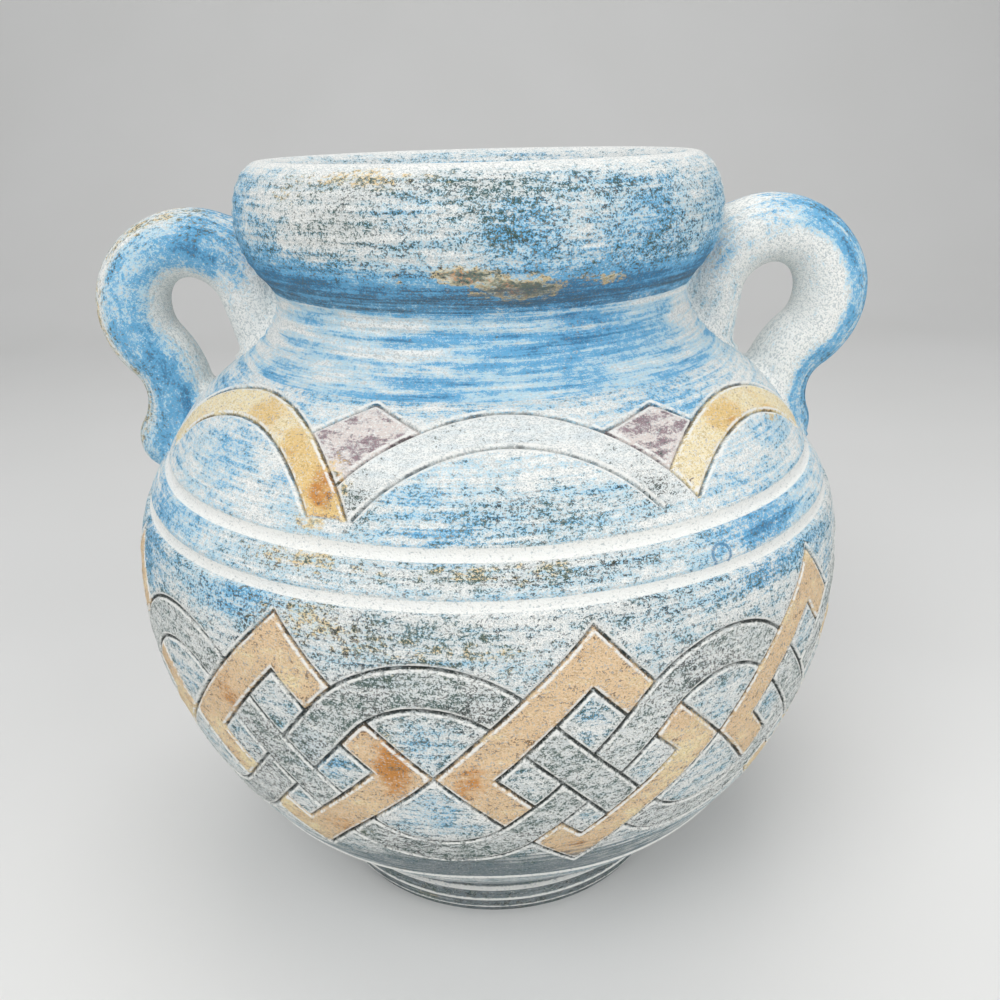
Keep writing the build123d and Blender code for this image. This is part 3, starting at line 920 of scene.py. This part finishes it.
right_coil = coil_piece("right_coil", side=1, leg_lean=9.0, lean=52.0, root_reach=103.2,
                        nodes=["right_handle", "right_neck_pad", "right_root_pad"],
                        paint_of=right_paint)
left_coil = coil_piece("left_coil", side=-1, leg_lean=16.0, lean=42.0, root_reach=111.2,
                       nodes=["left_handle", "left_neck_pad", "left_root_pad"],
                       paint_of=left_paint)

# %% [markdown]
# ## Shader maths as plain sums
# A finish is a tree of nodes. To keep it readable, a small class wraps one socket, and an
# ordinary sum or product of wrapped values adds the Math node. Any other node comes from
# one method that is given the node's type, its settings and what goes into its sockets.


# %% The wrapper
class Value:
    """One output socket of a finish; sums and products of values add Math nodes."""

    def __init__(self, finish, socket):
        self.finish, self.socket = finish, socket

    def __add__(self, other):
        return self.finish.math("ADD", self, other)

    def __sub__(self, other):
        return self.finish.math("SUBTRACT", self, other)

    def __rsub__(self, other):
        return self.finish.math("SUBTRACT", other, self)

    def __mul__(self, other):
        return self.finish.math("MULTIPLY", self, other)

    __radd__, __rmul__ = __add__, __mul__


class Finish:
    """A material in the making."""

    def __init__(self, name):
        self.material = bpy.data.materials.new(name)
        self.material.use_nodes = True
        self.tree = self.material.node_tree
        self.tree.nodes.clear()

    def node(self, kind, settings, inputs, output=0):
        """Add a node of a type, set its settings first, then fill or link its sockets."""
        made = self.tree.nodes.new(kind)
        for key, setting in settings.items():
            setattr(made, key, setting)
        for key, given in inputs.items():
            if isinstance(given, Value):
                self.tree.links.new(given.socket, made.inputs[key])
            else:
                made.inputs[key].default_value = given
        return Value(self, made.outputs[output]) if made.outputs else made

    def math(self, operation, a, b):
        """One Math node on two numbers or values."""
        return self.node("ShaderNodeMath", {"operation": operation}, {0: a, 1: b})

    def field(self, name):
        """A number that the mesh keeps at every point."""
        return self.node("ShaderNodeAttribute", {"attribute_name": name}, {}, "Fac")

    def step(self, value, low, high):
        """Zero below low, one above high, and a smooth rise between."""
        ends = {"Value": value, "From Min": low, "From Max": high}
        return self.node("ShaderNodeMapRange", {"interpolation_type": "SMOOTHSTEP"}, ends)

    def mix(self, share, a, b):
        """Colour a where share is zero and colour b where it is one."""
        return self.node("ShaderNodeMix", {"data_type": "RGBA"}, {0: share, 6: a, 7: b}, 2)

    def plan(self):
        """The place on the flat plan, which the mesh keeps at every point."""
        return self.node("ShaderNodeAttribute", {"attribute_name": "plan"}, {}, "Vector")

    def noise(self, wide, tall, detail, rough):
        """Cloudy noise about zero on the plan, with lumps of a width and a height in millimetres."""
        scale = (1 / wide, 1 / wide, 1 / tall)
        place = self.node("ShaderNodeVectorMath", {"operation": "MULTIPLY"}, {0: self.plan(), 1: scale})
        looks = {"Vector": place, "Scale": 1.0, "Detail": detail, "Roughness": rough}
        return self.node("ShaderNodeTexNoise", {}, looks) - 0.5

    def matte(self, colour, **inputs):
        """End the finish in a rough shader of a colour, with any more sockets that are given."""
        shell = self.node("ShaderNodeBsdfPrincipled", {}, {"Base Color": colour, **inputs})
        self.node("ShaderNodeOutputMaterial", {}, {"Surface": shell})
        return self.material


def paint(red, green, blue):
    """A colour as a screen shows it, 0 to 255, turned into the linear values of a shader."""
    part = np.array([red, green, blue]) / 255
    part = np.where(part < 0.04045, part / 12.92, ((part + 0.055) / 1.055) ** 2.4)
    return (*part.tolist(), 1.0)


# %% [markdown]
# ## Rubbed-back paint
# Layers as they were put on: sandy lime white, a sponge of sky blue dragged round the jar,
# ochre on the knot, dark wash caught in the pores and cuts, and a last dry rub of white
# that catches the burrs and the grain. The dark in the cuts is partly painted shadow, and the
# wash and pores also lay painted shade on the foot, low on the belly, under the rim and in the
# right handle's loop. A painted texture could show all this, but noise on the plan gives grain
# of the true size everywhere, and one recipe serves every section.
# In these cells f is the finish in the making, and each layer goes over the coat so far.

# %% Pigments
LIME, CHALK = paint(242, 242, 238), paint(202, 208, 208)
ASH, INK_AND_SHADOW = paint(110, 126, 126), paint(40, 46, 44)
PALE_SKY, SKY, DEEP_SKY = paint(174, 213, 230), paint(108, 173, 213), paint(70, 128, 168)
TEAL, SLATE, OLIVE = paint(62, 86, 78), paint(88, 104, 112), paint(128, 122, 76)
OCHRE, RUST, STRAW = paint(229, 200, 162), paint(204, 142, 78), paint(240, 224, 180)
UMBER, HONEY = paint(126, 96, 62), paint(232, 200, 138)
MAUVE, BLUSH = paint(126, 92, 104), paint(222, 210, 204)


# %% The noises that break up each layer
class RubbedPaint(Finish):
    """A finish with its noises, from slow clouds to single grains, and the sandy lime ground. The
    blue is sponged where brush is zero and drawn round the jar in strokes where it is one."""

    def __init__(self, name, brush):
        super().__init__(name)
        self.brush = brush
        self.cloud = self.noise(36, 36, 2.0, 0.6)
        self.patch = self.noise(7, 4.0, 4.0, 0.62)
        self.drag = self.noise(34, 1.3, 3.0, 0.65)
        self.fleck = self.noise(2.2, 1.5, 3.0, 0.65)
        self.sand = self.noise(0.95, 0.75, 1.5, 0.6)
        self.grain = self.noise(0.55, 0.48, 1.0, 0.6)
        self.fine = self.fleck * 0.8 + self.sand * 0.8 + self.grain * 0.9
        stroke = self.noise(34, 4.0, 4.0, 0.62)
        broken = stroke * (1.4 * brush) + self.patch * (0.85 - 0.45 * brush)
        broken += self.drag * (0.6 + 0.4 * brush) + self.fine * (1 - 0.5 * brush)
        self.blue = self.field("blue") + broken
        self.rust = self.field("rust")
        self.painted = self.step(self.field("ochre"), 0.3, 0.7)
        rough = self.grain * 1.2 + self.sand * 0.8 + self.fleck * 0.4
        self.ground = self.mix(self.step(rough, -0.2, 0.06), CHALK, LIME)


# %% Blue, and the ring that a drip left
DRIP_TURN, DRIP_LENGTH, DRIP_RADIUS = math.radians(33), 157.5, 3.1
drip_wall = float(on_line(DRIP_LENGTH)[0])
DRIP = (drip_wall * math.sin(DRIP_TURN), -drip_wall * math.cos(DRIP_TURN), DRIP_LENGTH)


def drip_ring(f):
    """One on a thin ring: where the distance from the middle of the drip is its radius."""
    away = f.node("ShaderNodeVectorMath", {"operation": "DISTANCE"}, {0: f.plan(), 1: DRIP}, "Value")
    return 1 - f.step(f.math("ABSOLUTE", away - DRIP_RADIUS, 0), 0.25, 0.7)


def blue_coat(f, drip):
    """Pale, sky and deep blue, one over the other, each where there is more blue than the last.
    Cords and white arches are rubbed back to the ground."""
    coat = f.mix(f.step(f.blue, 0.36 - 0.2 * f.brush, 0.48) * 0.85, f.ground, PALE_SKY)
    coat = f.mix(f.step(f.blue + f.cloud * 0.4, 0.46, 0.60), coat, SKY)
    coat = f.mix(f.step(f.blue + f.cloud * 0.8 + f.drag * 0.5, 0.72, 0.98), coat, DEEP_SKY)
    if drip:
        coat = f.mix(drip_ring(f) * 0.8, coat, DEEP_SKY)
    return f.mix(f.step(f.field("cord"), 0.3, 0.7) * 0.8, coat, f.ground)


# %% Ochre and mauve
def ochre_coat(f, coat, body):
    """Straw, the body ochre, rust and umber by a tone that drifts along the band, with dark pores
    and white grain; it is missing where a patch has chipped off."""
    tone = f.rust + f.cloud * 0.8 + f.patch * 0.8 + f.fleck * 0.5 + f.drag * 0.3
    ochre = f.mix(f.step(tone, -0.26, 0.08), STRAW, body)
    ochre = f.mix(f.step(tone, 0.22, 0.6), ochre, RUST)
    ochre = f.mix(f.step(tone + f.fine * 0.5, 0.62, 0.95) * 0.8, ochre, UMBER)
    ochre = f.mix((1 - f.step(f.fine + f.drag * 0.4, -0.3, 0.0)) * 0.38, ochre, UMBER)
    ochre = f.mix(f.step(f.fine - f.rust * 0.4, 0.04, 0.28) * 0.55, ochre, LIME)
    return f.mix(f.painted * f.step(f.patch + f.fleck, -0.42, -0.26), coat, ochre)


def mauve_coat(f, coat):
    """The tips between the arches: a blush over the ground, then broken mauve."""
    tip = f.step(f.field("mauve"), 0.3, 0.7)
    coat = f.mix(tip * 0.92, coat, f.mix(f.step(f.patch + f.grain, -0.1, 0.15), BLUSH, f.ground))
    worn = f.step(f.patch * 1.5 + f.drag * 0.6 + f.fine * 0.8, -0.06, 0.18)
    return f.mix(tip * worn * 0.82, coat, MAUVE)


def stray_ochre(f, coat):
    """Flecks of ochre beside the bands, where there is rust: straw and honey, or rust and olive
    where it is thick."""
    spread = f.rust * 1.5 + f.fleck * 1.3 + f.patch * 0.9 + f.sand * 0.5 - f.painted
    stray = f.step(spread, 0.47, 0.74) * f.step(f.rust, 0.04, 0.14)
    thin = f.mix(f.step(f.fleck, -0.06, 0.06), STRAW, HONEY)
    thick = f.mix(f.step(f.patch + f.sand, -0.12, 0.02), RUST, OLIVE)
    stain = f.mix(f.step(f.rust + f.patch * 0.5 + f.fleck * 0.5, 0.44, 0.64), thin, thick)
    return f.mix(stray * 0.8, coat, stain)


# %% Dark wash, cuts and the last rub
def dark_coat(f, coat):
    """Slate wash in streaks, then ash and ink in the pores, which are umber on the ochre; both also lay
    painted shade where their fields are raised.
    """
    # Where the wash field is high, on the foot, low on the belly and under the rim, this slate is
    # partly painted shade.
    wash = f.field("wash") + f.drag * 1.2 + f.patch * 0.5 + f.grain * 0.7
    coat = f.mix(f.step(wash, 0.2, 0.7) * 0.85, coat, SLATE)
    # The grime field is raised on the foot and in the right handle's loop as painted shade.
    pores = f.field("grime") + f.grain * 1.4 + f.sand * 1.1 + f.fleck * 0.8
    pores += f.patch * 0.5 + f.drag * 0.4
    coat = f.mix(f.step(pores, 0.37, 0.48) * 0.5, coat, f.mix(f.painted, ASH, UMBER))
    dark = f.mix(f.step(f.cloud + f.patch, -0.1, 0.1), INK_AND_SHADOW, TEAL)
    return f.mix(f.step(pores, 0.47, 0.56) * 0.92, coat, f.mix(f.painted * 0.8, dark, UMBER))


def cut_coat(f, coat, cut_ink_and_shadow):
    """Ink and painted shadow in the cuts, as dark as the section's setting says and thinner where the
    hand pressed less, and white on the burrs beside them."""
    press = f.step(f.patch * 1.4 + f.cloud * 1.0 + f.drag * 0.4, -0.10, 0.14)
    cut = f.field("cut") + f.fleck * 0.5 + f.sand * 0.4
    core = (1 - f.step(cut - press * 0.2, 0.1, 0.5)) * (press * 0.5 + 0.5)
    # The dark core of the cut is ink and partly painted shadow of the V cut.
    coat = f.mix(core * cut_ink_and_shadow, coat, INK_AND_SHADOW)
    burr = f.step(cut, 0.42, 0.68) * (1 - f.step(cut, 0.95, 1.6))
    return f.mix(burr * f.step(f.fleck + f.patch, -0.14, 0.04) * 0.9, coat, LIME)


def last_rub(f, coat):
    """White in the belt grooves and on the ridges, and on the grain wherever the blue isn't deep."""
    channel = f.step(f.field("belt") + f.fleck * 0.35 + f.grain * 0.2, 0.1, 0.32)
    coat = f.mix(channel * 0.95, coat, f.mix(f.step(f.fine, -0.3, -0.1), CHALK, LIME))
    deep = f.step(f.blue, 0.66, 0.9)
    return f.mix(f.step(f.grain * 1.4 + f.sand * 0.6, 0.10, 0.28) * (0.5 - deep * 0.36), coat, LIME)


# %% One recipe for all sections
def rubbed_paint(name, brush, cut_ink_and_shadow, body, drip):
    """All the layers in order, on a dry matte surface with the bump of its sand and brush marks."""
    f = RubbedPaint(name, brush)
    coat = ochre_coat(f, blue_coat(f, drip), body)
    coat = stray_ochre(f, mauve_coat(f, coat))
    coat = last_rub(f, cut_coat(f, dark_coat(f, coat), cut_ink_and_shadow))
    relief = f.grain * 0.5 + f.sand * 0.6 + f.fleck * 0.5 + f.drag * 0.3
    bump = {"Strength": 0.8, "Distance": 0.0008, "Height": relief}
    normal = f.node("ShaderNodeBump", {}, bump, "Normal")
    return f.matte(coat, Roughness=0.92 + f.grain * 0.2, Normal=normal, **{"Specular IOR Level": 0.2})


# For each section: brush, how dark the ink and painted shadow in the cuts are, body ochre, and whether
# a drip fell on it.
STYLES = {
    "foot_finish": (0.5, 0.9, OCHRE, False), "belly_finish": (0.15, 0.9, OCHRE, False),
    "shoulder_finish": (0.35, 0.68, HONEY, True), "neck_finish": (0.85, 0.5, OCHRE, False),
    "rim_finish": (0.2, 0.5, OCHRE, False), "handle_finish": (0.35, 0.5, OCHRE, False),
}
finish_of = {slot: rubbed_paint(slot, *style) for slot, style in STYLES.items()}
dressed = [(foot, "foot_finish"), (lower_belly, "belly_finish"), (shoulder, "shoulder_finish"),
           (neck, "neck_finish"), (rim, "rim_finish"),
           (right_coil, "handle_finish"), (left_coil, "handle_finish")]
for piece, slot in dressed:
    piece.data.materials.append(finish_of[slot])
print("finishes:", sorted(finish_of))

# %% [markdown]
# ## Floor, light and camera
# A pale sheet of paper that rises into a backdrop, three large soft lamps and an even sky, as
# in a small photo studio. A plane with a bevel would do for the paper, but a curve carried
# across is one short formula. The camera stands where the photo was taken from: its place,
# angles and lens were fitted to the jar's outline, its grooves and its mouth.

# %% Floor
FLOOR_FRONT, BEND_START, BEND_RADIUS, BACKDROP_TOP, SWEEP_HALF = -3.0, 0.9, 0.6, 4.0, 4.0
BEND_ROWS, SWEEP_COLUMNS = 24, 3


def paper_finish():
    """Pale matte paper with a faint mottle."""
    f = Finish("paper")
    place = f.node("ShaderNodeTexCoord", {}, {}, "Object")
    mottle = f.node("ShaderNodeTexNoise", {}, {"Vector": place, "Scale": 6.0, "Detail": 1.0})
    return f.matte(f.mix(mottle, paint(226, 226, 224), paint(231, 231, 230)), Roughness=0.9)


def sweep_floor():
    """A floor that curves up in a quarter circle into a wall behind the jar."""
    bend = np.linspace(0, math.pi / 2, BEND_ROWS)
    y = np.r_[FLOOR_FRONT, BEND_START + BEND_RADIUS * np.sin(bend), BEND_START + BEND_RADIUS]
    z = np.r_[0.0, BEND_RADIUS - BEND_RADIUS * np.cos(bend), BACKDROP_TOP]
    x = np.linspace(-SWEEP_HALF, SWEEP_HALF, SWEEP_COLUMNS)
    points = np.stack(np.broadcast_arrays(x, y[:, None], z[:, None]), -1).reshape(-1, 3)
    corner = np.arange(len(points)).reshape(len(y), SWEEP_COLUMNS)
    faces = np.stack([corner[:-1, :-1], corner[:-1, 1:], corner[1:, 1:], corner[1:, :-1]], -1)
    mesh = bpy.data.meshes.new("paper_sweep")
    mesh.from_pydata(points, [], faces.reshape(-1, 4).tolist())
    mesh.shade_smooth()
    mesh.materials.append(paper_finish())
    paper = bpy.data.objects.new("paper_sweep", mesh)
    bpy.context.scene.collection.objects.link(paper)
    print("paper", len(points), "points")


sweep_floor()

# %% Light
KEY_LAMP = ((-0.5, -0.9, 1.1), (0, 0, 0.12), 0.9, 10.2)
FILL_LAMP = ((0.9, -0.7, 0.7), (0, 0, 0.12), 0.9, 5.2)
TOP_LAMP = ((0.0, 0.2, 1.3), (0, 0, 0.2), 0.8, 4.0)
SKY_TINT, SKY_STRENGTH = (0.97, 0.98, 1.0, 1), 0.39


def placed(x_axis, y_axis, z_axis, place):
    """Matrix of an object whose three axes and place are its columns."""
    return Matrix(np.vstack([np.column_stack([x_axis, y_axis, z_axis, place]), (0, 0, 0, 1)]))


def soft_lamp(name, place, towards, size, power):
    """A square lamp at a place, turned to a point: it shines down its own -Z."""
    data = bpy.data.lights.new(name, "AREA")
    data.size, data.energy = size, power
    lamp = bpy.data.objects.new(name, data)
    back = np.array(place, float) - np.array(towards, float)
    back /= np.linalg.norm(back)
    right = np.cross((0, 0, 1), back)
    right /= np.linalg.norm(right)
    lamp.matrix_world = placed(right, np.cross(back, right), back, place)
    bpy.context.scene.collection.objects.link(lamp)


soft_lamp("key_lamp", *KEY_LAMP)
soft_lamp("fill_lamp", *FILL_LAMP)
soft_lamp("top_lamp", *TOP_LAMP)
world = bpy.data.worlds.new("studio")
world.use_nodes = True
sky_inputs = world.node_tree.nodes["Background"].inputs
sky_inputs["Color"].default_value = SKY_TINT
sky_inputs["Strength"].default_value = SKY_STRENGTH
bpy.context.scene.world = world
print("sky", SKY_STRENGTH, "and three lamps")

# %% Camera
EYE = np.array([2.6, -327.5, 261.5])
PITCH_DOWN, YAW, ROLL = 0.3753, 0.0045, -0.0262
FOCAL_PIXELS, FRAME_PIXELS, SENSOR = 958.83, 1000, 36.0
NEAREST = 0.01
right = np.array([math.cos(YAW), -math.sin(YAW), 0])
level = np.array([math.sin(YAW), math.cos(YAW), 0])
plumb = np.array([0, 0, 1])
ahead = math.cos(PITCH_DOWN) * level - math.sin(PITCH_DOWN) * plumb
upward = math.sin(PITCH_DOWN) * level + math.cos(PITCH_DOWN) * plumb
lens_x = math.cos(ROLL) * right + math.sin(ROLL) * upward
lens_y = math.cos(ROLL) * upward - math.sin(ROLL) * right
camera_data = bpy.data.cameras.new("camera")
camera_data.sensor_width = SENSOR
camera_data.lens = FOCAL_PIXELS / FRAME_PIXELS * SENSOR
camera_data.clip_start = NEAREST
camera = bpy.data.objects.new("camera", camera_data)
camera.matrix_world = placed(lens_x, lens_y, -ahead, EYE * MM)
bpy.context.scene.collection.objects.link(camera)
bpy.context.scene.camera = camera
bpy.context.scene.view_settings.view_transform = "Standard"
print("lens", round(camera_data.lens, 2), "mm")
